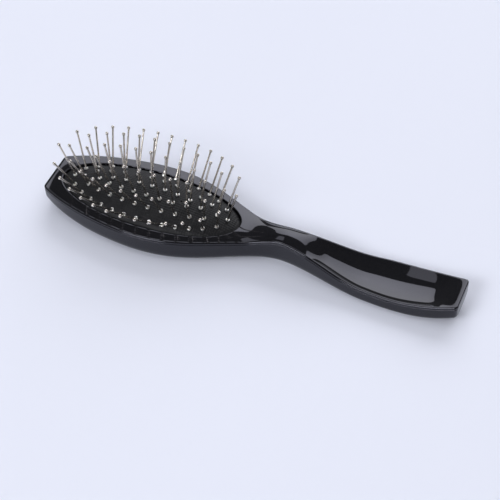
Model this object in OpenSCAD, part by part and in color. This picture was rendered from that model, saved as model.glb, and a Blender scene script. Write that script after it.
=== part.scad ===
// Cushioned pin brush: a hollow two-part body, a domed rubber cushion and ball-tipped steel pins.
// Millimetres. +X runs from the head to the tail, +Z is the side that the pins stand on.

/* [Body] */
// Overall length from the head's cut end to the tail
brush_len = 220; // [200:1:235]
// Height of the head's rim above the surface that the brush lies on
rim_h = 14.8; // [14:0.1:17]
// Wall thickness of the back shell
wall = 1.8; // [1.4:0.1:2]
// Thickness of the front frame
frame_t = 2; // [1.6:0.1:2.4]
// Distance from the top edge down to the joint between the two halves
joint_drop = 1.4; // [1:0.1:1.8]
// Radius of the rounded top edge
lip_r = 0.7; // [0.4:0.1:1]
// Radius of the upright corners at both cut ends
end_r = 1.5; // [1:0.1:2.5]

/* [Handle] */
// Depth of the dish in the handle's upper face
dish_depth = 2.4; // [1.5:0.1:2.8]
// Rise of the rounded top of the neck
neck_crown = 1.4; // [0.5:0.1:2]
// Width of the flat edge round the dish
lip_land = 1.1; // [0.8:0.1:1.5]

/* [Cushion] */
// Distance from the head's end to the cushion's centre
pad_x = 55.4; // [53:0.1:57]
// Half length of the cushion's oval opening
open_a = 49.2; // [47:0.1:50]
// Half width of the cushion's oval opening
open_b = 18.8; // [18:0.1:19.2]
// Height of the dome above its edge
pad_rise = 7.2; // [5:0.1:8]
// Depth of the dome's edge below the rim
pad_recess = 0.8; // [0.5:0.1:1]
// Thickness of the rubber
pad_t = 1.8; // [1.4:0.1:2]
// Radius of the cushion's air vent
vent_r = 0.6; // [0.4:0.1:0.8]

/* [Pins] */
// Length of a pin from the cushion to the centre of its ball tip
pin_len = 20.9; // [17:0.1:22]
// Radius of a pin's shaft
pin_r = 0.5; // [0.4:0.05:0.6]
// Radius of the ball tip
ball_r = 0.88; // [0.7:0.02:1]
// Radius of the flat head under the cushion
head_r = 1.3; // [1:0.1:1.4]
// Outer radius of the collar at a pin's foot
collar_r = 1.05; // [0.9:0.05:1.2]
// Height of the collar
collar_h = 0.9; // [0.6:0.1:1.2]
// Sideways lean of a pin, per millimetre from the centre line
lean_y = 0.057; // [0.03:0.001:0.06]
// Lengthwise lean of a pin, per millimetre from the lean centre
lean_x = 0.0075; // [0.004:0.0005:0.009]

/* [Hidden] */

// Outline, for a 220 mm brush. Head: an oval cut off square at its end
HEAD_X = 56;
HEAD_HALF = 25;
HEAD_OVAL = 65;
HEAD_ROUND = 1.6;
// Waist: the narrowest place, and how late the head and how early the handle draw in to it
NECK_X = 128;
NECK_HALF = 6.1;
HEAD_DRAW = 1.2;
GRIP_DRAW = 0.85;
// Grip: the handle's widest place, and its width at the tail
GRIP_X = 188;
GRIP_HALF = 12.7;
TAIL_HALF = 9.6;
// Side view of the top edge: level head, raised neck, sagging grip, lifted tail
NECK_LIFT = 3.6;
LIFT_FROM = 108;
LIFT_RUN = 22;
GRIP_DROP = 9.5;
DROP_RUN = 46;
TAIL_LIFT = 5.7;
TAIL_FROM = 184;
// Underside: flat patches below the head and the grip, hollow under the neck, raised at both ends
BELLY_CUT = 0.4;
HEAD_RAMP = 36;
HEAD_RAMP_H = 6.2;
HOLLOW_FROM = 76;
HOLLOW_TO = 172;
HOLLOW_H = 3.6;
TAIL_RAMP = 26;
TAIL_RAMP_H = 5.8;
// Shape of the back's section: how round it is across, and how upright its sides are
BACK_ROUND = 2.5;
SIDE_UPRIGHT = 8;
// Fall of the rim from the opening to the head's outer edge
RIM_FALL = 0.9;
HEAD_EASE = 14;
// Gap between the two halves at their joint, and beside the tongue
JOINT_GAP = 0.05;
TONGUE_GAP = 0.15;
// Over the shell's end walls the frame has no tongue and its underside clears the joint by this much
END_RECESS = 0.15;
// How round the upper face is across
FACE_ROUND = 2.4;
// Ease-in and ease-out of the dish along the handle
DISH_FROM = 138;
DISH_EASE = 14;
DISH_END = 2.2;
DISH_END_EASE = 13;

// Flange of the cushion, and the retaining ring round and under it
FLANGE_W = 1.8;
FLANGE_T = 1.8;
SEAT_GAP = 0.1;
SHELF_T = 1;
RETAINER_W = 2.9;
PAD_EDGE_GAP = 0.35;
PAD_EDGE_W = 2.2;
// The dome is the cap of an ellipsoid this much larger than the opening
CAP_SPREAD = 1.25;

// Half width of the inner oval of pins, and the step out to the next oval
INNER_ROW = 3.2;
ROW_PITCH = 6.2;
// Half length, half width and number of pins of each oval
OUTER = [42.5, INNER_ROW + 2 * ROW_PITCH, 28];
MIDDLE = [37, INNER_ROW + ROW_PITCH, 22];
INNER = [28, INNER_ROW, 16];
// Pins lean away from a line a little behind the cushion's centre
LEAN_CENTRE = 4.6;
PIN_CLEAR = 0.05;
COLLAR_LIFT = 0.2;
COLLAR_CLEAR = 0.02;
HEAD_DROP = 0.25;
HEAD_T = 0.6;

pad_base = rim_h - pad_recess;
cap_c = pad_rise / (1 - sqrt(1 - 1 / pow(CAP_SPREAD, 2)));
cap_z = pad_base - cap_c + pad_rise;
seat_z = rim_h - frame_t;
flange_top = seat_z - SEAT_GAP;
flange_low = flange_top - FLANGE_T;

$fn = 64;

// ---- curves ----

function ease(u) = let (v = min(max(u, 0), 1)) v * v * (3 - 2 * v);

// ---- body outline ----

// How far the rounded upright corners pull the outline in near both ends
function corner(x) =
    let (d = min(min(x, brush_len - x), end_r))
    end_r - sqrt(end_r * end_r - pow(end_r - d, 2));

function unit_x(x) = x * 220 / brush_len;

function head_oval(x) = HEAD_HALF * sqrt(1 - pow((HEAD_X - x) / HEAD_OVAL, HEAD_ROUND));
function head_waist(x) =
    HEAD_HALF - (HEAD_HALF - NECK_HALF) * ease(pow((x - HEAD_X) / (NECK_X - HEAD_X), HEAD_DRAW));
function grip_waist(x) =
    NECK_HALF + (GRIP_HALF - NECK_HALF) * ease(pow((x - NECK_X) / (GRIP_X - NECK_X), GRIP_DRAW));
function tail_taper(x) = GRIP_HALF - (GRIP_HALF - TAIL_HALF) * pow((x - GRIP_X) / (220 - GRIP_X), 2);
function outline(x) =
    x < HEAD_X ? head_oval(x) : x < NECK_X ? head_waist(x) : x < GRIP_X ? grip_waist(x) : tail_taper(x);

// Height of the top edge above the head's rim
function crest(x) =
    NECK_LIFT * ease((x - LIFT_FROM) / LIFT_RUN) - GRIP_DROP * ease((x - NECK_X) / DROP_RUN)
    + TAIL_LIFT * pow(max(x - TAIL_FROM, 0) / (220 - TAIL_FROM), 2);

// Height of the rounded back above the resting surface; below 0 it is cut off flat to rest on
function belly(x) =
    HEAD_RAMP_H * pow(max(1 - x / HEAD_RAMP, 0), 2)
    + HOLLOW_H * ease((x - HOLLOW_FROM) / (NECK_X - HOLLOW_FROM)) * ease((HOLLOW_TO - x) / (HOLLOW_TO - NECK_X))
    + TAIL_RAMP_H * pow(max(x - 220 + TAIL_RAMP, 0) / TAIL_RAMP, 2) - BELLY_CUT;

function half_w(x) = outline(unit_x(x)) - corner(x);
function lip_z(x) = rim_h + crest(unit_x(x)) - 0.3 * corner(x);
function belly_z(x) = belly(unit_x(x)) + 0.4 * corner(x);
function joint_z(x) = lip_z(x) - joint_drop;

// Height of the upper face above its edge: crowned head and neck, dished handle
function rise(x) =
    RIM_FALL * ease(x / HEAD_EASE) * (1 - ease((x - 100) / 20))
    + neck_crown * ease((x - 100) / 20) * (1 - ease((x - 134) / 16))
    - dish_depth * ease((x - DISH_FROM) / DISH_EASE) * ease((brush_len - DISH_END - x) / DISH_END_EASE);

function top_z(x, y) =
    let (t = min(abs(y) / (half_w(x) - lip_land), 1))
    lip_z(x) + rise(x) * (1 - pow(t, FACE_ROUND));

// Half width of the cushion's opening at a station, 0 outside it
function hole_w(x) =
    let (u = (x - pad_x) / open_a)
    abs(u) < 0.9999 ? open_b * sqrt(1 - u * u) : 0;

// Stations: close together at both ends of the body, of the cushion's opening and of the dish
HOLE_STEPS = 24;
BODY_STEPS = 26;
TAIL_RUN = 10;
body_from = pad_x + open_a;
body_to = brush_len - TAIL_RUN;
end_in = max(wall, end_r) + 0.3;
STATIONS = concat([for (i = [0:5]) end_r * (1 - cos(i * 18))],
                  [for (i = [0:2]) end_in + i * (pad_x - open_a - end_in) / 3],
                  [for (i = [0:HOLE_STEPS]) pad_x - open_a * cos(180 * i / HOLE_STEPS)],
                  [for (i = [1:BODY_STEPS]) body_from + i * (body_to - body_from) / BODY_STEPS],
                  [for (i = [1:5]) body_to + i * (TAIL_RUN - end_in) / 5],
                  [for (i = [0:5]) brush_len - end_r * (1 - sin(i * 18))]);

// How the points of a half section are spread from the centre line or the opening to the edge
SPREAD = [0, 0.18, 0.36, 0.52, 0.66, 0.78, 0.88, 0.95, 1];

// Upper outline of half the frame at one station, out to the joint
function frame_top(x) =
    let (w = half_w(x), z = lip_z(x), in = hole_w(x))
    concat([for (s = SPREAD) let (y = in + s * (w - lip_r - in)) [y, top_z(x, y)]],
           [for (a = [30:30:90]) [w - lip_r + lip_r * sin(a), z - lip_r + lip_r * cos(a)]],
           [[w, joint_z(x)]]);

function tongued(x) = x > end_in + 0.1 && x < brush_len - end_in - 0.1;
function under_z(x, y) = tongued(x) ? min(top_z(x, y), lip_z(x)) - frame_t : joint_z(x) + END_RECESS;

// Lower outline of half the frame: the underside, the side of its tongue and a flat joint edge
function frame_low(x) =
    let (w = half_w(x) - wall - TONGUE_GAP, in = hole_w(x), low = under_z(x, w))
    concat([for (s = SPREAD) let (y = in + s * (w - in)) [y, under_z(x, y)]],
           [for (u = [1:3]) [w, low + (joint_z(x) - low) * u / 3]],
           [[(w + half_w(x)) / 2, joint_z(x)]]);

// The frame as one closed surface: two halves that meet on the centre line, and the opening's wall between them
module frame_plate() {
    m = len(STATIONS);
    n = len(frame_top(0));
    points = [for (side = [1, -1]) for (x = STATIONS)
        each concat([for (p = frame_top(x)) [x, side * p[0], p[1]]],
                    [for (p = frame_low(x)) [x, side * p[0], p[1]]])];
    open = [for (x = STATIONS) hole_w(x) > 0];
    halves = [for (side = [0, 1]) for (i = [0:m - 2]) for (j = [0:n - 2])
        let (a = at(side, i, j), b = at(side, i, j + 1), c = at(side, i + 1, j + 1), d = at(side, i + 1, j),
             e = at(side, i, j + n), f = at(side, i, j + n + 1), g = at(side, i + 1, j + n + 1),
             h = at(side, i + 1, j + n))
        each flipped([[a, b, c], [a, c, d], [e, g, f], [e, h, g]], side)];
    rims = [for (side = [0, 1]) for (i = [0:m - 2])
        let (a = at(side, i, n - 1), b = at(side, i, 2 * n - 1),
             c = at(side, i + 1, 2 * n - 1), d = at(side, i + 1, n - 1))
        each flipped([[a, b, c], [a, c, d]], side)];
    walls = [for (side = [0, 1]) for (i = [0:m - 2]) if (open[i] || open[i + 1])
        let (a = at(side, i, 0), b = at(side, i, n), c = at(side, i + 1, n), d = at(side, i + 1, 0))
        each flipped([[a, c, b], [a, d, c]], side)];
    caps = [for (side = [0, 1]) for (i = [0, m - 1]) for (j = [0:n - 2])
        let (a = at(side, i, j), b = at(side, i, j + 1), c = at(side, i, j + n + 1), d = at(side, i, j + n))
        each flipped([[a, c, b], [a, d, c]], i == 0 ? side : 1 - side)];
    // Index of point j of a half section; both halves share the centre line's points
    function at(side, i, j) =
        let (shared = !open[i] && (j == 0 || j == n))
        ((shared ? 0 : side) * m + i) * 2 * n + j;
    polyhedron(points, concat(halves, rims, walls, caps));
}

function flipped(faces, side) = side == 0 ? faces : [for (f = faces) [f[0], f[2], f[1]]];

// Section of the back from one joint edge round to the other, pulled in by the wall thickness
BACK_STEPS = 26;
function back_half(w, top, low) =
    [for (i = [0:BACK_STEPS])
        let (a = 180 * i / BACK_STEPS, c = cos(a))
        [-sign(c) * w * pow(abs(c), 2 / BACK_ROUND),
         max(top - (top - low) * pow(sin(a), 2 / SIDE_UPRIGHT), 0)]];

function inner_x(x) = wall + x * (brush_len - 2 * wall) / brush_len;

// The back shell: outer skin, inner skin and the edge between them
module shell() {
    n = BACK_STEPS + 1;
    m = len(STATIONS);
    outer = [for (x = STATIONS)
        for (p = back_half(half_w(x), joint_z(x) - JOINT_GAP, belly_z(x))) [x, p[0], p[1]]];
    inner = [for (s = STATIONS)
        let (x = inner_x(s))
        for (p = back_half(half_w(x) - wall, joint_z(x) - JOINT_GAP, max(belly_z(x), 0) + wall)) [x, p[0], p[1]]];
    k = n * m;
    last = (m - 1) * n;
    skin = [for (i = [0:m - 2]) for (j = [0:n - 2])
        let (a = i * n + j, b = a + 1)
        each [[a, b + n, b], [a, a + n, b + n], [a + k, b + k, b + n + k], [a + k, b + n + k, a + n + k]]];
    edge = [for (i = [0:m - 2])
        let (a = i * n, b = a + n - 1)
        each [[a, a + k, a + n + k], [a, a + n + k, a + n], [b, b + n, b + n + k], [b, b + n + k, b + k]]];
    ends = [[for (j = [0:n - 1]) j], [for (j = [n - 1:-1:0]) last + j],
            [for (j = [n - 1:-1:0]) k + j], [for (j = [0:n - 1]) k + last + j],
            [0, n - 1, k + n - 1, k], [last, k + last, k + last + n - 1, last + n - 1]];
    polyhedron(concat(outer, inner), concat(skin, edge, ends));
}

// An upright oval prism centred on the cushion
module oval(a, b, low, high) {
    translate([pad_x, 0, low])
        scale([a, b, 1])
            cylinder(r = 1, h = high - low);
}

module row_frame() {
    translate([-brush_len / 2, 0, 0]) children();
}

// ---- body ----

module back_shell() {
    color([0.03, 0.03, 0.035]) row_frame() shell();
}

module front_frame() {
    color([0.03, 0.03, 0.035]) row_frame() frame_plate();
}

// Oval ring behind the frame that clamps the cushion's flange
module cushion_retainer() {
    color([0.05, 0.05, 0.055]) row_frame() difference() {
        oval(open_a + RETAINER_W, open_b + RETAINER_W, flange_low - SEAT_GAP - SHELF_T, seat_z - JOINT_GAP);
        oval(open_a, open_b, 0, rim_h);
        oval(open_a + FLANGE_W + SEAT_GAP, open_b + FLANGE_W + SEAT_GAP, flange_low - SEAT_GAP, rim_h);
    }
}

// ---- cushion ----

module cap(drop) {
    translate([pad_x, 0, cap_z - drop])
        scale([open_a * CAP_SPREAD, open_b * CAP_SPREAD, cap_c])
            sphere(r = 1);
}

function dome_z(x, y) =
    cap_z + cap_c * sqrt(1 - (pow((x - pad_x) / open_a, 2) + pow(y / open_b, 2)) / pow(CAP_SPREAD, 2));

module cushion_pad() {
    color([0.07, 0.07, 0.075]) row_frame() difference() {
        union() {
            intersection() {
                cap(0);
                oval(open_a - PAD_EDGE_GAP, open_b - PAD_EDGE_GAP, flange_low, rim_h + pad_rise + 5);
            }
            oval(open_a + FLANGE_W, open_b + FLANGE_W, flange_low, flange_top);
        }
        intersection() {
            cap(pad_t);
            oval(open_a - PAD_EDGE_W, open_b - PAD_EDGE_W, flange_low - 1, rim_h + pad_rise + 5);
        }
        for (ring = [OUTER, MIDDLE, INNER])
            for (i = [0:ring[2] - 1])
                on_pin(ring, i)
                    translate([0, 0, -3 * pad_t]) cylinder(r = pin_r + PIN_CLEAR, h = 6 * pad_t);
        translate([pad_x + 17.6, 0, rim_h]) cylinder(r = vent_r, h = pad_rise + 5);
    }
}

// ---- pins ----

// Arc length along a quarter of an oval, from its long end, against the angle reached
function arc_table(a, b) =
    [for (t = 0, s = 0; t <= 90; s = s + norm([a * (cos(t + 1) - cos(t)), b * (sin(t + 1) - sin(t))]), t = t + 1)
        [s, t]];

// Place of pin i of an oval, spaced evenly round it from the long end
function seat(ring, i) =
    let (table = arc_table(ring[0], ring[1]),
         quarter = table[90][0],
         s = 4 * quarter * i / ring[2],
         half = s % (2 * quarter),
         t = lookup(min(half, 2 * quarter - half), table),
         side_x = (s <= quarter || s > 3 * quarter) ? 1 : -1,
         side_y = s < 2 * quarter ? 1 : -1,
         x = pad_x + side_x * ring[0] * cos(t),
         y = side_y * ring[1] * sin(t))
    [x, y, dome_z(x, y)];

// Moves its children to a pin's foot, with +Z along the pin
module on_pin(ring, i) {
    p = seat(ring, i);
    lean = [lean_x * (p[0] - pad_x - LEAN_CENTRE), lean_y * p[1]];
    translate(p)
        rotate([0, atan(norm(lean)), atan2(lean[1], lean[0])])
            children();
}

BALL_STEPS = 8;
ball_from = asin(pin_r / ball_r);

module pin() {
    low = -pad_t - HEAD_DROP;
    rotate_extrude($fn = 24)
        polygon(concat([[0, low - HEAD_T], [head_r, low - HEAD_T], [head_r, low], [pin_r, low],
                        [pin_r, pin_len - ball_r * cos(ball_from)]],
                       [for (i = [1:BALL_STEPS - 1])
                           let (a = 180 - ball_from - i * (180 - ball_from) / BALL_STEPS)
                           [ball_r * sin(a), pin_len + ball_r * cos(a)]],
                       [[0, pin_len + ball_r]]));
}

module collar() {
    bore = pin_r + COLLAR_CLEAR;
    mid = (collar_r + bore) / 2;
    round_r = (collar_r - bore) / 2;
    translate([0, 0, COLLAR_LIFT])
        rotate_extrude($fn = 24)
            polygon(concat([[bore, 0], [collar_r, 0]],
                           [for (a = [0:30:180]) [mid + round_r * cos(a), collar_h - round_r + round_r * sin(a)]]));
}

// Which pins of each oval share a node: counted from the nearer long end
function from_end(ring, i) = min(i % (ring[2] / 2), ring[2] / 2 - i % (ring[2] / 2));

module pins(ring, first, last, side = 0) {
    color([0.78, 0.76, 0.72]) row_frame()
        for (i = [0:ring[2] - 1])
            if (from_end(ring, i) >= first && from_end(ring, i) <= last && side * seat(ring, i)[1] >= 0)
                on_pin(ring, i) pin();
}

module collars(ring, first, last, side = 0) {
    color([0.9, 0.9, 0.9]) row_frame()
        for (i = [0:ring[2] - 1])
            if (from_end(ring, i) >= first && from_end(ring, i) <= last && side * seat(ring, i)[1] >= 0)
                on_pin(ring, i) collar();
}

back_shell();
front_frame();
cushion_retainer();
cushion_pad();
pins(OUTER, 1, 7, 1);  // outer_left_pins
pins(OUTER, 1, 7, -1);  // outer_right_pins
pins(OUTER, 0, 0);  // outer_end_pins
pins(MIDDLE, 4, 5);  // middle_side_pins
pins(MIDDLE, 3, 3);  // middle_quarter_pins
pins(MIDDLE, 1, 2);  // middle_shoulder_pins
pins(MIDDLE, 0, 0);  // middle_end_pins
pins(INNER, 2, 4);  // inner_core_pins
pins(INNER, 1, 1);  // inner_shoulder_pins
pins(INNER, 0, 0);  // inner_end_pins
collars(OUTER, 1, 7, 1);  // outer_left_collars
collars(OUTER, 1, 7, -1);  // outer_right_collars
collars(OUTER, 0, 0);  // outer_end_collars
collars(MIDDLE, 4, 5);  // middle_side_collars
collars(MIDDLE, 3, 3);  // middle_quarter_collars
collars(MIDDLE, 1, 2);  // middle_shoulder_collars
collars(MIDDLE, 0, 0);  // middle_end_collars
collars(INNER, 2, 4);  // inner_core_collars
collars(INNER, 1, 1);  // inner_shoulder_collars
collars(INNER, 0, 0);  // inner_end_collars
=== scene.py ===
import math

import bmesh
import bpy
import numpy as np
from mathutils import Matrix, Vector


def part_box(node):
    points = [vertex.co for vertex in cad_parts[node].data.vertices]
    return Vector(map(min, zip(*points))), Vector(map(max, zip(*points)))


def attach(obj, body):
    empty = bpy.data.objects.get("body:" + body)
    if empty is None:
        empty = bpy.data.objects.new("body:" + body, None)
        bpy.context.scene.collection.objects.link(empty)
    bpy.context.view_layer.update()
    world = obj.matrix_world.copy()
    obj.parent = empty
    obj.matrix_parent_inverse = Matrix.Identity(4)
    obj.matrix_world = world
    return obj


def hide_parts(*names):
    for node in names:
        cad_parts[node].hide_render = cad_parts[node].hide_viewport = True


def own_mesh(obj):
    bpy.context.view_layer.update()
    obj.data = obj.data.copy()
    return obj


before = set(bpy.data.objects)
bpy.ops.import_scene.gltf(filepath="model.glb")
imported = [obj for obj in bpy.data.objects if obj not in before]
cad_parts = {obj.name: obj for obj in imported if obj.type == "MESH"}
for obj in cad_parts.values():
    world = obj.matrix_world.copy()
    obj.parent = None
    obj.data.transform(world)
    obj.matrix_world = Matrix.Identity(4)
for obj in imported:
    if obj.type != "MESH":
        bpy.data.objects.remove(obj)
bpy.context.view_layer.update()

# Cushioned pin brush. Shapes are worked out in millimetres, with x from the head's cut end (0) to the tail,
# y across and z up from the surface that the brush lies on; to_row() turns them into the frame's metres.
MM = 0.001


def measured(node):
    """Lowest and highest corner of a CAD node, in millimetres of the row frame."""
    low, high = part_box(node)
    return np.array(low) / MM, np.array(high) / MM


frame_low, frame_high = measured("front_frame")
pad_low, pad_high = measured("cushion_pad")

LENGTH = frame_high[0] - frame_low[0]
HEAD_END = frame_low[0]

# ---- sizes shared with the CAD source ----
WALL = 1.8
FRAME_T = 2.0
JOINT_DROP = 1.4
JOINT_GAP = 0.05
TONGUE_GAP = 0.15
LIP_R = 0.7
LIP_LAND = 1.1
END_R = 1.5
RIM_FALL = 0.9
HEAD_EASE = 14.0
NECK_CROWN = 1.4
DISH_DEPTH = 2.4
FACE_ROUND = 2.4
DISH_FROM = 138.0
DISH_EASE = 14.0
DISH_END = 2.2
DISH_END_EASE = 13.0
BACK_ROUND = 2.5
SIDE_UPRIGHT = 8.0
FLANGE_W = 1.8
FLANGE_T = 1.8
SEAT_GAP = 0.1
PAD_T = 1.8
PAD_EDGE_GAP = 0.35
CAP_SPREAD = 1.25
PIN_LEN = 20.9
PIN_R = 0.5
BALL_R = 0.88
HEAD_R = 1.3
HEAD_T = 0.6
HEAD_DROP = 0.25
COLLAR_R = 1.05
COLLAR_H = 0.9
COLLAR_LIFT = 0.2
COLLAR_CLEAR = 0.02
LEAN_Y = 0.057
LEAN_X = 0.0075
LEAN_CENTRE = 4.6
VENT_R = 0.6
VENT_X = 17.6

# Outline of a 220 mm brush: oval head cut off square, waist, grip, tail
HEAD_X = 56.0
HEAD_HALF = 25.0
HEAD_OVAL = 65.0
HEAD_ROUND = 1.6
NECK_X = 128.0
NECK_HALF = 6.1
HEAD_DRAW = 1.2
GRIP_DRAW = 0.85
GRIP_X = 188.0
GRIP_HALF = 12.7
TAIL_HALF = 9.6
# Side view of the top edge
NECK_LIFT = 3.6
LIFT_FROM = 108.0
LIFT_RUN = 22.0
GRIP_DROP = 9.5
DROP_RUN = 46.0
TAIL_LIFT = 5.7
TAIL_FROM = 184.0
# Underside
BELLY_CUT = 0.4
HEAD_RAMP = 36.0
HEAD_RAMP_H = 6.2
HOLLOW_FROM = 76.0
HOLLOW_TO = 172.0
HOLLOW_H = 3.6
TAIL_RAMP = 26.0
TAIL_RAMP_H = 5.8

# What the frame says of the cushion: its centre, its opening, and the rim's height
PAD_X = (pad_low[0] + pad_high[0]) / 2 - HEAD_END
OPEN_A = (pad_high[0] - pad_low[0]) / 2 - FLANGE_W
OPEN_B = (pad_high[1] - pad_low[1]) / 2 - FLANGE_W
FLANGE_LOW = pad_low[2]
FLANGE_TOP = FLANGE_LOW + FLANGE_T
RIM_H = FLANGE_TOP + SEAT_GAP + FRAME_T
PAD_TOP = pad_high[2]
PAD_BASE = RIM_H - 0.8
PAD_RISE = PAD_TOP - PAD_BASE
CAP_C = PAD_RISE / (1 - math.sqrt(1 - 1 / CAP_SPREAD ** 2))
CAP_Z = PAD_BASE - CAP_C + PAD_RISE

# Small roundings that the photographed edges have: the opening's edge and both sides of the joint line
HOLE_ROUND = 0.55
GROOVE_ROUND = 0.3


# ---- curves ----

def ease(u):
    v = np.clip(u, 0, 1)
    return v * v * (3 - 2 * v)


def corner(x):
    """How far the rounded upright corners pull the outline in near both ends."""
    d = np.clip(np.minimum(x, LENGTH - x), 0, END_R)
    return END_R - np.sqrt(END_R ** 2 - (END_R - d) ** 2)


def share(x, start, end):
    """How far x is from start to end, kept between 0 and 1."""
    return np.clip((x - start) / (end - start), 0, 1)


def outline(x):
    """Half width: oval head, waist, grip and tail, each a formula."""
    oval = HEAD_HALF * np.sqrt(1 - (np.maximum(HEAD_X - x, 0) / HEAD_OVAL) ** HEAD_ROUND)
    draw = (HEAD_HALF - NECK_HALF) * ease(share(x, HEAD_X, NECK_X) ** HEAD_DRAW)
    grip = (GRIP_HALF - NECK_HALF) * ease(share(x, NECK_X, GRIP_X) ** GRIP_DRAW)
    return oval - draw + grip - (GRIP_HALF - TAIL_HALF) * share(x, GRIP_X, 220) ** 2


def crest(x):
    """Height of the top edge above the head's rim."""
    drop = GRIP_DROP * ease((x - NECK_X) / DROP_RUN)
    return NECK_LIFT * ease((x - LIFT_FROM) / LIFT_RUN) - drop + TAIL_LIFT * share(x, TAIL_FROM, 220) ** 2


def belly(x):
    """Height of the rounded back above the surface, before it is cut off flat."""
    hollow = ease(share(x, HOLLOW_FROM, NECK_X)) * ease(1 - share(x, NECK_X, HOLLOW_TO))
    ends = HEAD_RAMP_H * (1 - share(x, 0, HEAD_RAMP)) ** 2 + TAIL_RAMP_H * share(x, 220 - TAIL_RAMP, 220) ** 2
    return ends + HOLLOW_H * hollow - BELLY_CUT


def half_w(x):
    return outline(x * 220 / LENGTH) - corner(x)


def lip_z(x):
    return RIM_H + crest(x * 220 / LENGTH) - 0.3 * corner(x)


def belly_z(x):
    return belly(x * 220 / LENGTH) + 0.4 * corner(x)


def joint_z(x):
    return lip_z(x) - JOINT_DROP


def rise(x):
    """Height of the upper face above its edge: crowned head and neck, dished handle."""
    dish = ease((x - DISH_FROM) / DISH_EASE) * ease((LENGTH - DISH_END - x) / DISH_END_EASE)
    neck = ease((x - 100) / 20) * (1 - ease((x - 134) / 16))
    return RIM_FALL * ease(x / HEAD_EASE) * (1 - ease((x - 100) / 20)) + NECK_CROWN * neck - DISH_DEPTH * dish


def top_z(x, y):
    t = np.minimum(np.abs(y) / (half_w(x) - LIP_LAND), 1)
    return lip_z(x) + rise(x) * (1 - t ** FACE_ROUND)


def under_z(x, y):
    return np.minimum(top_z(x, y), lip_z(x)) - FRAME_T


def dome_z(x, y):
    """Height of the cushion's smooth dome."""
    r2 = ((x - PAD_X) / OPEN_A) ** 2 + (y / OPEN_B) ** 2
    return CAP_Z + CAP_C * np.sqrt(np.maximum(1 - r2 / CAP_SPREAD ** 2, 0))


# ---- mesh making ----

def to_row(points):
    """Millimetres from the head's end to metres in the frame."""
    p = np.array(points, float).reshape(-1, 3)
    return (p + [HEAD_END, 0, 0]) * MM


class Skin:
    """Collects grids of points into one welded mesh."""

    def __init__(self):
        self.points = []
        self.faces = []
        self.count = 0

    def grid(self, rows, closed=False):
        """Quads between the neighbouring points of an array of rows."""
        rows = np.array(rows, float)
        m, n = rows.shape[:2]
        index = self.count + np.arange(m * n).reshape(m, n)
        nxt = np.roll(index, -1, axis=1) if closed else index[:, 1:]
        here = index if closed else index[:, :-1]
        self.points.append(rows.reshape(-1, 3))
        self.faces.append(np.stack([here[:-1], nxt[:-1], nxt[1:], here[1:]], -1).reshape(-1, 4))
        self.count += m * n

    def both(self, rows):
        """A grid of the half at +y, and the same mirrored to -y."""
        rows = np.array(rows, float)
        self.grid(rows)
        self.grid(rows * [1, -1, 1])

    def fan(self, ring):
        """Closes a ring of points with triangles round its middle."""
        ring = np.array(ring, float)
        n = len(ring)
        index = self.count + np.arange(n)
        middle = np.full(n, self.count + n)
        self.points.append(np.vstack([ring, ring.mean(0)]))
        self.faces.append(np.stack([index, np.roll(index, -1), middle], -1))
        self.count += n + 1

    def build(self, name, material, sharp=40.0, weld=1e-4):
        faces = [f for group in self.faces for f in group.tolist()]
        return make_piece(name, np.vstack(self.points), faces, material, sharp, weld)


def make_piece(name, points, faces, material, sharp, weld):
    """A shaded mesh object from points in millimetres; weld is the distance within which points become one."""
    mesh = bpy.data.meshes.new(name)
    mesh.from_pydata(to_row(points).tolist(), [], faces)
    bm = bmesh.new()
    bm.from_mesh(mesh)
    bmesh.ops.remove_doubles(bm, verts=bm.verts, dist=weld * MM)
    bmesh.ops.dissolve_degenerate(bm, edges=bm.edges, dist=weld * MM)
    bmesh.ops.recalc_face_normals(bm, faces=bm.faces)
    bm.to_mesh(mesh)
    bm.free()
    mesh.shade_smooth()
    mesh.set_sharp_from_angle(angle=math.radians(sharp))
    mesh.materials.append(material)
    obj = bpy.data.objects.new(name, mesh)
    bpy.context.scene.collection.objects.link(obj)
    return obj


# ---- body outline ----

def edge_slope(x):
    """Slope of the outline, from points a little to either side."""
    step = 1e-4
    a = np.clip(x - step, 0, LENGTH)
    b = np.clip(x + step, 0, LENGTH)
    return (half_w(b) - half_w(a)) / (b - a)


def outline_at(inset_x, inset):
    """Stations of the outline whose points, moved in by inset, have these x."""
    x = np.array(inset_x, float)
    for _ in range(12):
        s = edge_slope(x)
        x = inset_x - inset * s / np.sqrt(1 + s * s)
    return x


CORNER_STEPS = 8
HOLE_STEPS = 104
BODY_STEPS = 120
hole_a = OPEN_A + HOLE_ROUND
hole_b = OPEN_B + HOLE_ROUND
corner_x = END_R * (1 - np.cos(np.radians(np.linspace(0, 90, CORNER_STEPS + 1))))
# Stations in the plan of the upper face: before the opening, along it, and from it to the tail
hole_angle = np.linspace(0, math.pi, HOLE_STEPS + 1)
hole_x = PAD_X - hole_a * np.cos(hole_angle)
before_x = np.linspace(END_R, outline_at(hole_x[:1], LIP_R)[0], 8)[1:-1]
after_x = np.linspace(outline_at(hole_x[-1:], LIP_R)[0], LENGTH - END_R, BODY_STEPS + 1)[1:]
tail_x = (LENGTH - corner_x[::-1])[1:]
STATION = np.concatenate([corner_x, before_x, outline_at(hole_x, LIP_R), after_x, tail_x])
FIRST_HOLE = len(corner_x) + len(before_x)
station_w = half_w(STATION)
slope = edge_slope(STATION)
normal = np.stack([-slope, np.ones_like(slope)], -1) / np.sqrt(1 + slope * slope)[:, None]
normal[0] = [-1, 0]
normal[-1] = [1, 0]
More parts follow.
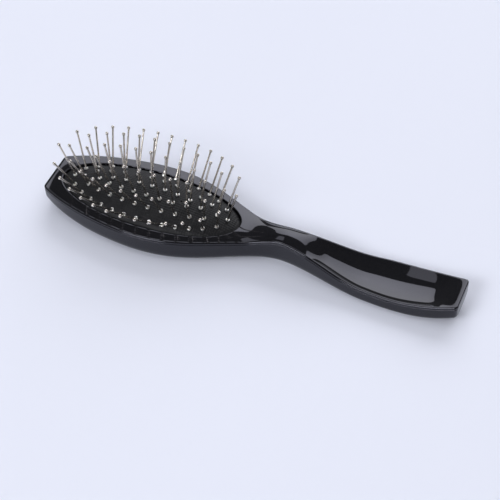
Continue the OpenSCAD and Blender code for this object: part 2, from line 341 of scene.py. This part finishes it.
# Plan of the upper face: each row is at one x, from the opening or the centre line out to the rounded edge
row_x = STATION - LIP_R * normal[:, 0]
row_w = station_w - LIP_R * normal[:, 1]
row_in = np.zeros_like(row_x)
row_in[FIRST_HOLE:FIRST_HOLE + HOLE_STEPS + 1] = hole_b * np.sin(hole_angle)
SPREAD = np.concatenate([np.linspace(0, 0.9, 17), [0.94, 0.97, 0.99, 1.0]])
LAND = LIP_LAND - LIP_R


def row_y(i):
    """Points across row i of the upper face."""
    land = row_w[i] - LAND
    return np.concatenate([row_in[i] + SPREAD * (land - row_in[i]), [row_w[i] - LAND / 2, row_w[i]]])


# Half the outline, from the head's centre round the side to the tail's centre: place, outward normal, share of
# the half width at the ends
across = row_y(0) / row_w[0]
head_side = np.stack([np.zeros_like(across), across * station_w[0]], -1)
tail_side = np.stack([np.full_like(across, LENGTH), across[::-1] * station_w[-1]], -1)
EDGE = np.vstack([head_side, np.stack([STATION, station_w], -1), tail_side])
end_normal = np.tile([1.0, 0.0], (len(across), 1))
EDGE_NORMAL = np.vstack([-end_normal, normal, end_normal])
EDGE_TOP = np.concatenate([
    top_z(row_x[0], across * row_w[0]),
    top_z(row_x, row_w),
    top_z(row_x[-1], across[::-1] * row_w[-1]),
])


def inner_edge(offset):
    """The outline of a wall's inner face, one point for each point of EDGE."""
    x = offset + EDGE[:, 0] * (LENGTH - 2 * offset) / LENGTH
    y = half_w(np.clip(x, END_R, LENGTH - END_R)) - offset
    y[:len(across)] *= across
    y[-len(across):] *= across[::-1]
    return np.stack([x, y], -1)


def around(profile):
    """Sweeps a profile of (inset, height) pairs, each a number or one value per point of EDGE, round half the body."""
    rows = []
    for inset, height in profile:
        plan = EDGE - inset * EDGE_NORMAL
        rows.append(np.column_stack([plan, np.broadcast_to(height, len(plan))]))
    return rows


def arc(steps):
    return np.linspace(0, math.pi / 2, steps + 1)


# ---- body pieces ----

def front_cover(material):
    """The glossy front: rounded rim round the cushion, crowned neck and dished handle, in one moulding."""
    skin = Skin()
    top = [np.column_stack([np.full(len(row_y(i)), x), row_y(i), top_z(x, row_y(i))])
           for i, x in enumerate(row_x)]
    skin.both(top)
    joint = joint_z(EDGE[:, 0])
    lip = [(LIP_R * (1 - math.sin(a)), EDGE_TOP - LIP_R * (1 - math.cos(a))) for a in arc(7)]
    foot = [(GROOVE_ROUND * (1 - math.cos(a)), joint + GROOVE_ROUND * (1 - math.sin(a))) for a in arc(4)]
    low_side = EDGE_TOP - LIP_R
    middle = [(0, low_side + (joint + GROOVE_ROUND - low_side) * u) for u in (0.33, 0.67)]
    tongue = inner_edge(WALL + TONGUE_GAP)
    plan_in = np.minimum(tongue[:, 0], LENGTH)
    under = under_z(plan_in, tongue[:, 1])
    rows = around(lip + middle + foot)
    rows.append(np.column_stack([tongue, joint_z(plan_in)]))
    rows.append(np.column_stack([tongue, under]))
    skin.both(rows)
    skin.both(underside(tongue, under))
    ring = [(HOLE_ROUND * (1 - math.sin(a)), HOLE_ROUND * (1 - math.cos(a))) for a in arc(6)]
    skin.both(hole_wall(ring))
    return skin.build("front_cover", material)


def underside(tongue, under):
    """Lower face of the front cover, from its tongue in to the opening or the centre line."""
    n = len(across)
    side = slice(n, n + len(STATION))
    start = np.column_stack([tongue[side, 0], np.zeros(len(STATION))])
    opening = slice(FIRST_HOLE, FIRST_HOLE + HOLE_STEPS + 1)
    start[opening] = np.column_stack([PAD_X - OPEN_A * np.cos(hole_angle), OPEN_B * np.sin(hole_angle)])
    rows = []
    for a, b, z in zip(start, tongue[side], under[side]):
        plan = a + across[:, None] * (b - a)
        height = under_z(plan[:, 0], plan[:, 1])
        height[-1] = z
        rows.append(np.column_stack([plan, height]))
    return rows


def hole_wall(ring):
    """The rounded edge and wall of the cushion's opening."""
    rows = []
    for drop_in, drop in ring:
        a = OPEN_A + drop_in
        b = OPEN_B + drop_in
        x = PAD_X - a * np.cos(hole_angle)
        y = b * np.sin(hole_angle)
        rows.append(np.column_stack([x, y, top_z(x, y) - drop]))
    x = PAD_X - OPEN_A * np.cos(hole_angle)
    y = OPEN_B * np.sin(hole_angle)
    low = under_z(x, y)
    high = top_z(x, y) - HOLE_ROUND
    for u in (0.5, 1.0):
        rows.append(np.column_stack([x, y, high + (low - high) * u]))
    return rows


def section(width, top, low, shares):
    """Half a section of the rounded back, from its side to the centre line."""
    angle = np.arcsin(np.clip(shares, 0, 1) ** (SIDE_UPRIGHT / 2))
    y = width * np.cos(angle) ** (2 / BACK_ROUND)
    y[-1] = 0
    z = np.maximum(top - (top - low) * shares, 0)
    return y, z


def back_cover(material):
    """The hollow back: upright sides that turn under into a rounded belly, cut off flat where it rests."""
    skin = Skin()
    n = len(across)
    top = joint_z(EDGE[:, 0]) - JOINT_GAP
    edge = [(GROOVE_ROUND * (1 - math.sin(a)), top - GROOVE_ROUND * (1 - math.cos(a))) for a in arc(4)]
    inner = inner_edge(WALL)
    inner_top = joint_z(inner[:, 0]) - JOINT_GAP
    skin.both([np.column_stack([inner, inner_top])] + around(edge))
    steep = np.linspace(0, 0.8, 15)
    turn = np.sin(np.linspace(math.asin(0.8 ** 4), math.pi / 2, 26)[1:]) ** 0.25
    outer_rows = skin_rows(STATION, station_w, top[n:n + len(STATION)], belly_z(STATION), steep, turn,
                           GROOVE_ROUND)
    skin.both(outer_rows)
    inside = inner[n:n + len(STATION)]
    floor = np.maximum(belly_z(inside[:, 0]), 0) + WALL
    inner_rows = skin_rows(inside[:, 0], inside[:, 1], inner_top[n:n + len(STATION)], floor, steep, turn, 0)
    skin.both(inner_rows)
    for rows in (outer_rows, inner_rows):
        for end in (rows[0], rows[-1]):
            skin.both([np.column_stack([np.full(n, p[0]), across * p[1], np.full(n, p[2])]) for p in end])
    return skin.build("back_cover", material)


def skin_rows(x, width, top, low, steep, turn, start):
    """Sections of the back at stations x, each from start below the joint down to the centre line."""
    rows = []
    for i, at in enumerate(x):
        first = start / (top[i] - low[i])
        shares = np.concatenate([first + (steep / steep[-1]) * (steep[-1] - first), turn])
        y, z = section(width[i], top[i], low[i], shares)
        y[0] = width[i]
        rows.append(np.column_stack([np.full(len(y), at), y, z]))
    return rows


# ---- pins and collars ----

def oval_seats(a, b, count):
    """Places spaced evenly round an oval, from its long end at +x."""
    angle = np.linspace(0, math.pi / 2, 91)
    steps = np.hypot(np.diff(a * np.cos(angle)), np.diff(b * np.sin(angle)))
    length = np.concatenate([[0], np.cumsum(steps)])
    quarter = length[-1]
    seats = []
    for i in range(count):
        s = 4 * quarter * i / count
        half = s % (2 * quarter)
        t = np.interp(min(half, 2 * quarter - half), length, angle)
        side_x = 1 if s <= quarter + 1e-9 or s > 3 * quarter + 1e-9 else -1
        side_y = 1 if s < 2 * quarter - 1e-9 else -1
        seats.append((PAD_X + side_x * a * math.cos(t), side_y * b * math.sin(t)))
    return seats


def revolved(skin, seat, profile, sides):
    """A turned shape: profile pairs of (radius, height) round the axis of the pin at this seat."""
    x, y = seat
    lean = Vector((LEAN_X * (x - PAD_X - LEAN_CENTRE), LEAN_Y * y, 1)).normalized()
    turn = np.array(Vector((0, 0, 1)).rotation_difference(lean).to_matrix())
    angle = np.linspace(0, 2 * math.pi, sides, endpoint=False)
    rows = []
    for radius, height in profile:
        ring = np.column_stack([radius * np.cos(angle), radius * np.sin(angle), np.full(sides, height)])
        rows.append(ring @ turn.T + [x, y, float(dome_z(x, y))])
    skin.grid(rows, closed=True)
    for end in (rows[0], rows[-1]):
        skin.fan(end)


PIN_SIDES = 20
COLLAR_SIDES = 28
low_head = -PAD_T - HEAD_DROP
ball_from = math.asin(PIN_R / BALL_R)
ball_angles = np.linspace(math.pi - ball_from, 0.12, 12)
PIN_PROFILE = ([(HEAD_R - 0.08, low_head - HEAD_T), (HEAD_R, low_head - HEAD_T + 0.08), (HEAD_R, low_head - 0.08),
                (HEAD_R - 0.08, low_head), (PIN_R + 0.1, low_head), (PIN_R, low_head + 0.12)]
               + [(PIN_R, low_head + 0.12 + (PIN_LEN - BALL_R - 0.3 - low_head) * u) for u in (0.1, 0.4, 0.7, 0.97)]
               + [(BALL_R * math.sin(a), PIN_LEN + BALL_R * math.cos(a)) for a in ball_angles])
bore = PIN_R + COLLAR_CLEAR
COLLAR_PROFILE = ([(bore, COLLAR_LIFT + 0.06), (bore + 0.06, COLLAR_LIFT), (COLLAR_R - 0.08, COLLAR_LIFT),
                   (COLLAR_R, COLLAR_LIFT + 0.08)]
                  + [((COLLAR_R + bore) / 2 + (COLLAR_R - bore) / 2 * math.cos(a),
                      COLLAR_LIFT + COLLAR_H - (COLLAR_R - bore) / 2 * (1 - math.sin(a)))
                     for a in np.linspace(0, math.pi, 11)])
INNER_ROW = 3.2
ROW_PITCH = 6.2
OVALS = {"outer": (42.5, INNER_ROW + 2 * ROW_PITCH, 28), "middle": (37.0, INNER_ROW + ROW_PITCH, 22),
         "inner": (28.0, INNER_ROW, 16)}
# Each group: its oval, the first and last pin counted from the nearer long end, its side, and its CAD body
GROUPS = {
    "outer_left": ("outer", 1, 7, 1, "outer_row"),
    "outer_right": ("outer", 1, 7, -1, "outer_row"),
    "outer_end": ("outer", 0, 0, 0, "outer_row"),
    "middle_side": ("middle", 4, 5, 0, "middle_side"),
    "middle_quarter": ("middle", 3, 3, 0, "middle_quarter"),
    "middle_shoulder": ("middle", 1, 2, 0, "middle_shoulder"),
    "middle_end": ("middle", 0, 0, 0, "middle_end"),
    "inner_core": ("inner", 2, 4, 0, "inner_core"),
    "inner_shoulder": ("inner", 1, 1, 0, "inner_shoulder"),
    "inner_end": ("inner", 0, 0, 0, "inner_end"),
}


def group_seats(oval, first, last, side):
    a, b, count = OVALS[oval]
    seats = oval_seats(a, b, count)
    half = count // 2
    return [seat for i, seat in enumerate(seats)
            if first <= min(i % half, half - i % half) <= last and side * seat[1] >= 0]


def collar_skin(skin, seat):
    """A ring with a rounded top, closed through its bore."""
    x, y = seat
    lean = Vector((LEAN_X * (x - PAD_X - LEAN_CENTRE), LEAN_Y * y, 1)).normalized()
    turn = np.array(Vector((0, 0, 1)).rotation_difference(lean).to_matrix())
    angle = np.linspace(0, 2 * math.pi, COLLAR_SIDES, endpoint=False)
    rows = []
    for radius, height in COLLAR_PROFILE + COLLAR_PROFILE[:1]:
        ring = np.column_stack([radius * np.cos(angle), radius * np.sin(angle), np.full(COLLAR_SIDES, height)])
        rows.append(ring @ turn.T + [x, y, float(dome_z(x, y))])
    skin.grid(rows, closed=True)


# ---- cushion ----

KNURL = 1.3
KNURL_CUT = 4
KNURL_H = 0.24
KNURL_SHAPE = np.array([0.0, 0.9, 1.0, 0.9])
PAD_MARGIN = 0.9
BOSS_R = 1.55
BOSS_H = 0.3


def cushion(material, seats):
    """The rubber cushion: a knurled dome with a boss at each pin, a vent, and the flange that holds it."""
    a, b = OPEN_A - PAD_EDGE_GAP, OPEN_B - PAD_EDGE_GAP
    step = KNURL / KNURL_CUT
    nx, ny = int(a / step) + 1, int(b / step) + 1
    ix, iy = np.meshgrid(np.arange(-nx, nx + 1), np.arange(-ny, ny + 1), indexing="ij")
    gx, gy = ix * step, iy * step
    oval = np.sqrt((gx / a) ** 2 + (gy / b) ** 2)
    from_vent = np.hypot(gx - VENT_X, gy)
    inside = (oval < 1 - 0.4 * step / b) & (from_vent > VENT_R - 0.35 * step)
    cell = inside[:-1, :-1] & inside[1:, :-1] & inside[1:, 1:] & inside[:-1, 1:]
    number = np.arange(gx.size).reshape(gx.shape)
    quads = np.stack([number[:-1, :-1], number[1:, :-1], number[1:, 1:], number[:-1, 1:]], -1)[cell]
    # Points on the rim of what is left are moved onto the oval or the vent's circle
    edges = np.vstack([quads[:, [k, (k + 1) % 4]] for k in range(4)])
    key = np.sort(edges, 1) @ [gx.size, 1]
    _, first, count = np.unique(key, return_index=True, return_counts=True)
    rim = edges[first[count == 1]]
    on_rim = np.unique(rim)
    x, y = gx.ravel().copy(), gy.ravel().copy()
    by_vent = on_rim[from_vent.ravel()[on_rim] < 3 * VENT_R]
    by_edge = on_rim[from_vent.ravel()[on_rim] >= 3 * VENT_R]
    x[by_edge] /= oval.ravel()[by_edge]
    y[by_edge] /= oval.ravel()[by_edge]
    pull = VENT_R / from_vent.ravel()[by_vent]
    x[by_vent] = VENT_X + (x[by_vent] - VENT_X) * pull
    y[by_vent] *= pull
    z = dome_z(x + PAD_X, y)
    # Knurling, faded out at the edge, round the vent and round each pin, where a smooth boss rises instead
    tread = KNURL_SHAPE[ix % KNURL_CUT] * KNURL_SHAPE[iy % KNURL_CUT]
    fade = ease((1 - oval) * b / PAD_MARGIN) * ease((from_vent - VENT_R - 0.2) / 0.5)
    boss = np.zeros_like(gx)
    for sx, sy in seats:
        d = np.hypot(gx - (sx - PAD_X), gy - sy)
        fade = fade * ease((d - BOSS_R + 0.5) / 0.5)
        boss = np.maximum(boss, ease((BOSS_R - d) / 0.7))
    z = z + (KNURL_H * tread * fade + BOSS_H * boss).ravel() - KNURL_H * ease((oval - 0.94) / 0.06).ravel()
    skin = Skin()
    points = np.column_stack([x + PAD_X, y, z])
    used, quads = np.unique(quads, return_inverse=True)
    skin.points.append(points[used])
    skin.faces.append(quads.reshape(-1, 4))
    skin.count = len(used)
    for loop in rim_loops(rim):
        ring = points[loop]
        if from_vent.ravel()[loop[0]] < 3 * VENT_R:
            low = ring.copy()
            low[:, 2] -= PAD_T
            skin.grid([ring, (ring + low) / 2, low], closed=True)
            skin.fan(low)
        else:
            cushion_rim(skin, ring)
    return skin.build("cushion", material, sharp=50.0)


def rim_loops(edges):
    """Joins directed edges into closed loops of point numbers."""
    following = dict(edges.tolist())
    loops = []
    while following:
        start, here = following.popitem()
        loop = [start]
        while here != start:
            loop.append(here)
            here = following.pop(here)
        loops.append(loop)
    return loops


def cushion_rim(skin, ring):
    """From the dome's edge down to the flange, round it, and back in under the dome."""
    angle = np.arctan2(ring[:, 1] / OPEN_B, (ring[:, 0] - PAD_X) / OPEN_A)

    def oval_ring(a, b, height):
        return np.column_stack([PAD_X + a * np.cos(angle), b * np.sin(angle), np.broadcast_to(height, len(angle))])

    edge_a, edge_b = OPEN_A - PAD_EDGE_GAP, OPEN_B - PAD_EDGE_GAP
    out_a, out_b = OPEN_A + FLANGE_W, OPEN_B + FLANGE_W
    rows = [ring, oval_ring(edge_a, edge_b, (PAD_BASE + FLANGE_TOP) / 2), oval_ring(edge_a, edge_b, FLANGE_TOP),
            oval_ring(out_a - 0.3, out_b - 0.3, FLANGE_TOP), oval_ring(out_a, out_b, FLANGE_TOP - 0.3),
            oval_ring(out_a, out_b, FLANGE_LOW + 0.3), oval_ring(out_a - 0.3, out_b - 0.3, FLANGE_LOW),
            oval_ring(edge_a - PAD_T, edge_b - PAD_T, FLANGE_LOW)]
    for share in np.linspace(1, 0.04, 16):
        a, b = share * (edge_a - PAD_T), share * (edge_b - PAD_T)
        below = dome_z(PAD_X + a * np.cos(angle), b * np.sin(angle)) - PAD_T
        rows.append(oval_ring(a, b, below))
    skin.grid(rows, closed=True)
    skin.fan(rows[-1])


# ---- materials ----

def new_material(name):
    material = bpy.data.materials.new(name)
    material.use_nodes = True
    nodes, links = material.node_tree.nodes, material.node_tree.links
    shader = nodes["Principled BSDF"]
    place = nodes.new("ShaderNodeTexCoord").outputs["Object"]
    return material, nodes, links, shader, place


def noise(nodes, links, place, scale, detail=4.0, roughness=0.5, stretch=None):
    """A noise value over the piece; stretch scales its three axes."""
    if stretch:
        mapping = nodes.new("ShaderNodeMapping")
        mapping.inputs["Scale"].default_value = stretch
        links.new(place, mapping.inputs["Vector"])
        place = mapping.outputs["Vector"]
    texture = nodes.new("ShaderNodeTexNoise")
    texture.inputs["Scale"].default_value = scale
    texture.inputs["Detail"].default_value = detail
    texture.inputs["Roughness"].default_value = roughness
    links.new(place, texture.inputs["Vector"])
    return texture.outputs["Fac"]


def ramp(nodes, links, value, low, high, a, b):
    """Maps value from low..high to the range or the two colours a..b."""
    if isinstance(a, (int, float)):
        node = nodes.new("ShaderNodeMapRange")
        node.inputs["From Min"].default_value = low
        node.inputs["From Max"].default_value = high
        node.inputs["To Min"].default_value = a
        node.inputs["To Max"].default_value = b
        links.new(value, node.inputs["Value"])
        return node.outputs["Result"]
    node = nodes.new("ShaderNodeValToRGB")
    node.color_ramp.elements[0].position = low
    node.color_ramp.elements[1].position = high
    node.color_ramp.elements[0].color = (*a, 1)
    node.color_ramp.elements[1].color = (*b, 1)
    links.new(value, node.inputs["Fac"])
    return node.outputs["Color"]


def bump(nodes, links, shader, height, distance, strength=1.0):
    node = nodes.new("ShaderNodeBump")
    node.inputs["Distance"].default_value = distance
    node.inputs["Strength"].default_value = strength
    links.new(height, node.inputs["Height"])
    links.new(node.outputs["Normal"], shader.inputs["Normal"])
    return node


def glossy_black():
    """Polished black ABS: deep black, very faint moulding waviness and fine handling marks."""
    material, nodes, links, shader, place = new_material("glossy_black_plastic")
    marks = noise(nodes, links, place, 900, 6, 0.6)
    links.new(ramp(nodes, links, marks, 0.35, 0.75, (0.0045, 0.0045, 0.0055), (0.008, 0.0078, 0.009)),
              shader.inputs["Base Color"])
    links.new(ramp(nodes, links, marks, 0.4, 0.8, 0.035, 0.075), shader.inputs["Roughness"])
    shader.inputs["IOR"].default_value = 1.52
    shader.inputs["Specular Tint"].default_value = (0.88, 0.88, 1.0, 1)
    wave = noise(nodes, links, place, 38, 1.5, 0.4)
    bump(nodes, links, shader, wave, 0.00002)
    return material


def inner_black():
    """Unpolished black plastic of the hidden retaining ring."""
    material, nodes, links, shader, place = new_material("matt_black_plastic")
    grain = noise(nodes, links, place, 2600, 5, 0.6)
    links.new(ramp(nodes, links, grain, 0.3, 0.7, (0.010, 0.010, 0.012), (0.020, 0.020, 0.022)),
              shader.inputs["Base Color"])
    links.new(ramp(nodes, links, grain, 0.3, 0.7, 0.38, 0.55), shader.inputs["Roughness"])
    bump(nodes, links, shader, grain, 0.00003, 0.4)
    return material


def rubber():
    """Black rubber: satin, with dust and a fine skin."""
    material, nodes, links, shader, place = new_material("black_rubber")
    skin = noise(nodes, links, place, 3500, 5, 0.65)
    dust = noise(nodes, links, place, 160, 4, 0.6)
    links.new(ramp(nodes, links, dust, 0.35, 0.75, (0.0075, 0.0075, 0.0085), (0.014, 0.014, 0.015)),
              shader.inputs["Base Color"])
    links.new(ramp(nodes, links, skin, 0.3, 0.7, 0.4, 0.56), shader.inputs["Roughness"])
    shader.inputs["IOR"].default_value = 1.5
    shader.inputs["Specular IOR Level"].default_value = 0.26
    bump(nodes, links, shader, skin, 0.00002, 0.5)
    return material


def steel(name, tint, rough):
    """Nickel-plated steel with faint drawing marks along the pin."""
    material, nodes, links, shader, place = new_material(name)
    drawn = noise(nodes, links, place, 1500, 4, 0.6, (1.0, 1.0, 0.06))
    stain = noise(nodes, links, place, 220, 3, 0.5)
    dark = tuple(0.8 * c for c in tint)
    links.new(ramp(nodes, links, stain, 0.3, 0.75, dark, tint), shader.inputs["Base Color"])
    links.new(ramp(nodes, links, drawn, 0.3, 0.7, rough * 0.8, rough * 1.35), shader.inputs["Roughness"])
    shader.inputs["Metallic"].default_value = 1.0
    bump(nodes, links, shader, drawn, 0.000003, 0.25)
    return material


# ---- building ----

plastic = glossy_black()
hidden_plastic = inner_black()
black_rubber = rubber()
pin_steel = steel("nickel_plated_steel", (0.80, 0.75, 0.68), 0.2)
collar_metal = steel("bright_collar_metal", (0.95, 0.94, 0.92), 0.26)

cover = front_cover(plastic)
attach(cover, "body")
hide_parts("front_frame")

back = back_cover(plastic)
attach(back, "body")
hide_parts("back_shell")

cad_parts["cushion_retainer"].data.materials.clear()
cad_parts["cushion_retainer"].data.materials.append(hidden_plastic)

all_seats = []
for group, (oval, first, last, side, body) in GROUPS.items():
    seats = group_seats(oval, first, last, side)
    all_seats += seats
    pin_skin, ring_skin = Skin(), Skin()
    for seat in seats:
        revolved(pin_skin, seat, PIN_PROFILE, PIN_SIDES)
        collar_skin(ring_skin, seat)
    wires = pin_skin.build(group + "_wires", pin_steel)
    rings = ring_skin.build(group + "_rings", collar_metal)
    for piece, node, slot in ((wires, group + "_pins", "steel"), (rings, group + "_collars", "collar")):
        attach(piece, body)
        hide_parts(node)

pad = cushion(black_rubber, all_seats)
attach(pad, "body")
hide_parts("cushion_pad")
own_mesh(pad)


# ---- camera, floor and light ----

CAMERA_AZIMUTH = math.radians(25.04)
CAMERA_ELEVATION = math.radians(48.85)
CAMERA_ROLL = math.radians(-2.45)
CAMERA_DISTANCE = 680.7 * MM
CAMERA_LENS = 100.45
TARGET = Vector((5.41, -12.41, RIM_H)) * MM


def add_camera():
    """The photograph's view: from the near side, above the handle's end, with a long lens."""
    a, e, r = CAMERA_AZIMUTH, CAMERA_ELEVATION, CAMERA_ROLL
    back_way = Vector((math.sin(a) * math.cos(e), -math.cos(a) * math.cos(e), math.sin(e)))
    right = Vector((math.cos(a), math.sin(a), 0))
    up = back_way.cross(right)
    turned_right = math.cos(r) * right + math.sin(r) * up
    turned_up = -math.sin(r) * right + math.cos(r) * up
    data = bpy.data.cameras.new("camera")
    data.lens = CAMERA_LENS
    data.sensor_width = 36
    data.clip_start, data.clip_end = 0.01, 50
    camera = bpy.data.objects.new("camera", data)
    turn = Matrix((turned_right, turned_up, back_way)).transposed()
    camera.matrix_world = Matrix.Translation(TARGET + back_way * CAMERA_DISTANCE) @ turn.to_4x4()
    bpy.context.scene.collection.objects.link(camera)
    bpy.context.scene.camera = camera
    return camera


def add_floor():
    """A large pale sheet, a little rougher than paper."""
    bm = bmesh.new()
    bmesh.ops.create_grid(bm, x_segments=8, y_segments=8, size=BACKDROP_R * 1.2)
    mesh = bpy.data.meshes.new("floor")
    bm.to_mesh(mesh)
    bm.free()
    material, nodes, links, shader, place = new_material("pale_paper")
    tone = noise(nodes, links, place, 3, 2, 0.5)
    links.new(ramp(nodes, links, tone, 0.3, 0.7, (0.765, 0.785, 0.865), (0.775, 0.795, 0.875)),
              shader.inputs["Base Color"])
    shader.inputs["Roughness"].default_value = 0.7
    shader.inputs["Specular IOR Level"].default_value = 0.2
    mesh.materials.append(material)
    floor = bpy.data.objects.new("floor", mesh)
    bpy.context.scene.collection.objects.link(floor)
    return floor


def stage_object(name, mesh, material):
    mesh.materials.append(material)
    obj = bpy.data.objects.new(name, mesh)
    bpy.context.scene.collection.objects.link(obj)
    return obj


def glow(name, colour, strength, hot_spot=None, spread=1.0, dim=1.0):
    """A light-giving surface, brightest at its hot spot and fading to dim times that at the distance spread."""
    material = bpy.data.materials.new(name)
    material.use_nodes = True
    nodes, links = material.node_tree.nodes, material.node_tree.links
    nodes.remove(nodes["Principled BSDF"])
    emission = nodes.new("ShaderNodeEmission")
    emission.inputs["Color"].default_value = (*colour, 1)
    emission.inputs["Strength"].default_value = strength
    if hot_spot:
        place = nodes.new("ShaderNodeTexCoord").outputs["Object"]
        distance = nodes.new("ShaderNodeVectorMath")
        distance.operation = "DISTANCE"
        distance.inputs[1].default_value = (*hot_spot, 0)
        links.new(place, distance.inputs[0])
        links.new(ramp(nodes, links, distance.outputs["Value"], 0, spread, strength, strength * dim),
                  emission.inputs["Strength"])
    links.new(emission.outputs["Emission"], nodes["Material Output"].inputs["Surface"])
    return material


def softbox(name, azimuth, elevation, half_wide, half_high, colour, strength,
            hot_spot=None, spread=1.0, dim=1.0):
    """A rounded rectangular softbox that faces the brush. Azimuth 0 is beyond the brush at +Y and 90 at +X, and its
    half sizes are the angles that it fills, in degrees, seen from the brush."""
    a, e = math.radians(azimuth), math.radians(elevation)
    way = Vector((math.sin(a) * math.cos(e), math.cos(a) * math.cos(e), math.sin(e)))
    half_x = LIGHT_DISTANCE * math.tan(math.radians(half_wide))
    half_y = LIGHT_DISTANCE * math.tan(math.radians(half_high))
    radius = 0.5 * min(half_x, half_y)
    bm = bmesh.new()
    outline = []
    for centre_x, centre_y, first in ((1, 1, 0), (-1, 1, 90), (-1, -1, 180), (1, -1, 270)):
        for step in range(7):
            turn = math.radians(first + 15 * step)
            outline.append(bm.verts.new((centre_x * (half_x - radius) + radius * math.cos(turn),
                                         centre_y * (half_y - radius) + radius * math.sin(turn), 0)))
    bm.faces.new(outline)
    mesh = bpy.data.meshes.new(name)
    bm.to_mesh(mesh)
    bm.free()
    box = stage_object(name, mesh, glow(name + "_glow", colour, strength, hot_spot, spread, dim))
    box.location = way * LIGHT_DISTANCE
    box.rotation_mode = "QUATERNION"
    box.rotation_quaternion = way.to_track_quat("Z", "Y")
    box.visible_camera = False
    return box


def add_backdrop():
    """A pale surround that only the camera sees, so that low views have no dark horizon."""
    bm = bmesh.new()
    bmesh.ops.create_icosphere(bm, subdivisions=4, radius=BACKDROP_R)
    mesh = bpy.data.meshes.new("backdrop")
    bm.to_mesh(mesh)
    bm.free()
    backdrop = stage_object("backdrop", mesh, glow("backdrop_glow", (0.80, 0.82, 0.91), 1.0))
    for kind in ("diffuse", "glossy", "transmission", "volume_scatter", "shadow"):
        setattr(backdrop, "visible_" + kind, False)


def add_world():
    """The dim room beyond the softboxes."""
    world = bpy.data.worlds.new("room")
    world.use_nodes = True
    background = world.node_tree.nodes["Background"]
    background.inputs["Color"].default_value = (0.95, 0.96, 1.0, 1)
    background.inputs["Strength"].default_value = 0.12
    bpy.context.scene.world = world


LIGHT_DISTANCE = 3.0
BACKDROP_R = 12.0
COOL = (0.94, 0.95, 1.0)

add_camera()
add_floor()
add_backdrop()
add_world()
softbox("far_softbox", -1, 35, 31, 22.5, COOL, 3.7, hot_spot=(0.25, 0.6), spread=3.2, dim=0.25)
softbox("left_softbox", -88, 69, 14, 7, COOL, 1.4)
softbox("front_softbox", -160, 40, 12, 8, COOL, 12.0)
ceiling = softbox("ceiling_bounce", 180, 72, 44, 44, COOL, 0.84)
ceiling.visible_glossy = False
bpy.context.scene.view_settings.view_transform = "Standard"
